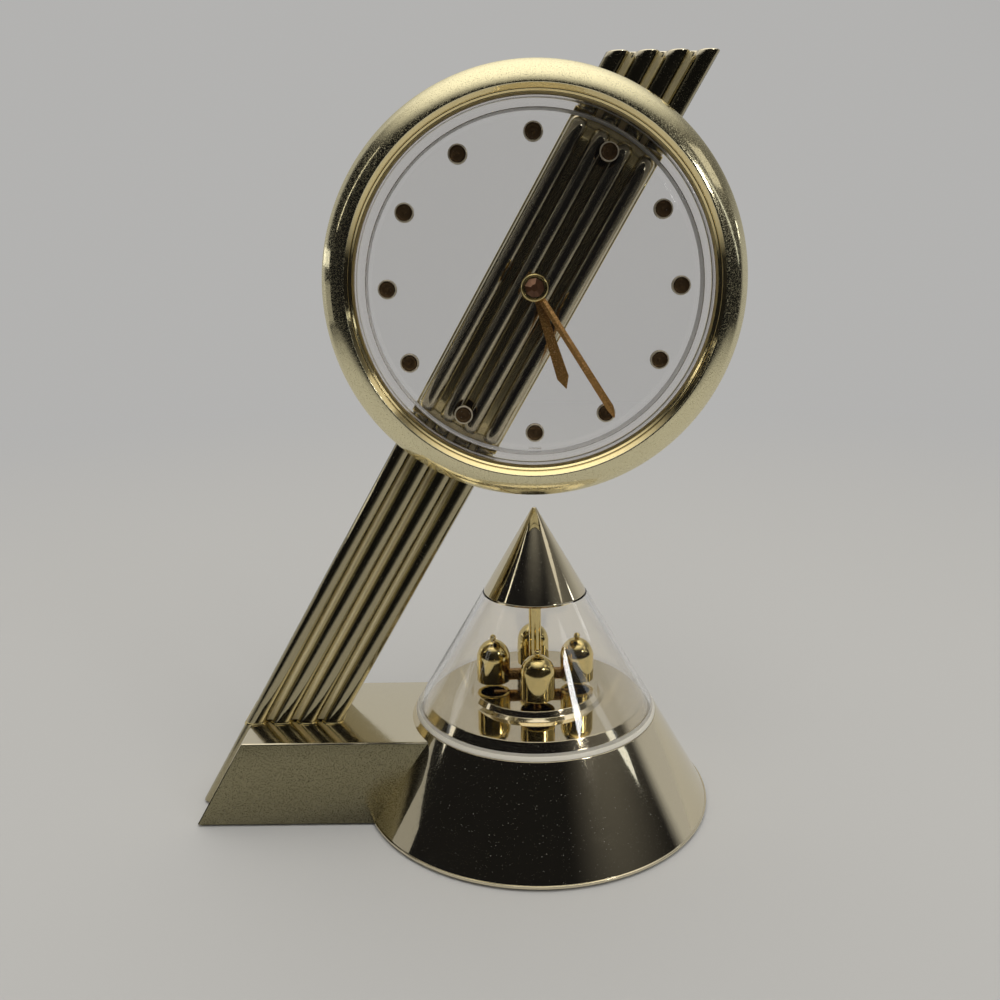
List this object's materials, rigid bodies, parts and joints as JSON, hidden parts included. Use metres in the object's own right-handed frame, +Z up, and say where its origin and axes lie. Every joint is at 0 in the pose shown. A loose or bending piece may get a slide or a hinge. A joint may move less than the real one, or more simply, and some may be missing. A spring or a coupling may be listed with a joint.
{
  "type": "clock",
  "caption": "Quartz table clock with a see-through round dial on a leaning ribbed post, and a rotary pendulum with bullet weights in a clear-sided cone.",
  "frame": {"origin": "middle of the clock's outline in plan, on the table surface", "axes": "+Z up, the dial faces -Y, +X to the right as seen from the front"},
  "size_m": [0.214, 0.1424, 0.2877],
  "materials": {
    "mirror_gold": "mirror plated",
    "satin_gold": "fine satin plated",
    "post_gold": "mirror plated",
    "yellow_gold": "polished",
    "bronze_gold": "polished",
    "jewel_dark": "faceted, glossy",
    "clear_acrylic": "clear, polished",
    "black_plastic": "fine texture",
    "white_plastic": "moulded",
    "black_rubber": "matt",
    "steel": "bright",
    "copper_wire": "enamelled wire",
    "circuit_board": "coated",
    "battery_jacket": "printed foil, plain"
  },
  "bodies": {
    "clock_body": {"base_cone_shell": "mirror_gold", "mirror_deck": "mirror_gold", "clear_cone": "clear_acrylic", "cone_tip": "mirror_gold", "box_shell": "satin_gold", "base_plate": "black_plastic", "battery_cell": "battery_jacket", "battery_spring": "steel", "battery_contact": "steel", "drive_board": "circuit_board", "drive_coil": "copper_wire", "pivot_needle": "steel", "plate_screw_1": "steel", "plate_screw_2": "steel", "plate_screw_3": "steel", "foot_1": "black_rubber", "foot_2": "black_rubber", "foot_3": "black_rubber", "foot_4": "black_rubber", "post_lower": "post_gold", "post_upper": "post_gold", "post_back": "black_plastic", "movement_lead": "black_plastic", "bezel_ring": "mirror_gold", "rear_ring": "mirror_gold", "crystal": "clear_acrylic", "dial_plate": "clear_acrylic", "hour_marker_01": "bronze_gold", "hour_marker_02": "bronze_gold", "hour_marker_03": "bronze_gold", "hour_marker_04": "bronze_gold", "hour_marker_05": "bronze_gold", "hour_marker_06": "bronze_gold", "hour_marker_07": "bronze_gold", "hour_marker_08": "bronze_gold", "hour_marker_09": "bronze_gold", "hour_marker_10": "bronze_gold", "hour_marker_11": "bronze_gold", "hour_marker_12": "bronze_gold", "dial_bridge": "post_gold", "movement_case": "black_plastic", "movement_cover": "black_plastic", "stepper_motor": "copper_wire"},
    "minute_group": {"minute_hand": "bronze_gold", "hand_boss": "yellow_gold", "boss_jewel": "jewel_dark", "minute_arbor": "steel"},
    "hour_group": {"hour_hand": "bronze_gold", "hour_wheel": "white_plastic"},
    "minute_wheel_group": {"minute_wheel": "white_plastic"},
    "set_group": {"set_knob": "black_plastic", "set_shaft": "white_plastic"},
    "pendulum": {"pendulum_hub": "bronze_gold", "pendulum_tube": "yellow_gold", "pendulum_magnet": "steel", "weight_front": "yellow_gold", "weight_right": "yellow_gold", "weight_rear": "yellow_gold", "weight_left": "yellow_gold"},
    "battery_door_group": {"battery_door": "black_plastic"}
  },
  "joints": [
    {"name": "minute_hand_spin", "type": "hinge", "parent": "clock_body", "child": "minute_group", "pos_m": [0.03196, 0, 0.2084], "axis": [0, 1, 0], "continuous": true},
    {"name": "hour_hand_spin", "type": "hinge", "parent": "clock_body", "child": "hour_group", "pos_m": [0.03196, 0, 0.2084], "axis": [0, 1, 0], "continuous": true},
    {"name": "minute_wheel_spin", "type": "hinge", "parent": "clock_body", "child": "minute_wheel_group", "pos_m": [0.02598, 0, 0.198], "axis": [0, 1, 0], "continuous": true},
    {"name": "set_knob_spin", "type": "hinge", "parent": "clock_body", "child": "set_group", "pos_m": [0.01925, 0, 0.18629], "axis": [0, 1, 0], "continuous": true},
    {"name": "pendulum_spin", "type": "hinge", "parent": "clock_body", "child": "pendulum", "pos_m": [0.03196, 0, 0.05], "axis": [0, 0, 1], "continuous": true},
    {"name": "battery_door_lift", "type": "slide", "parent": "clock_body", "child": "battery_door_group", "axis": [0, 0, -1], "range_m": [0, 0.03]}
  ],
  "couplings": [
    {"joint": "hour_hand_spin", "follows": "minute_hand_spin", "ratio": 0.083333},
    {"joint": "minute_wheel_spin", "follows": "minute_hand_spin", "ratio": -0.33333},
    {"joint": "set_knob_spin", "follows": "minute_hand_spin", "ratio": 0.66667}
  ]
}
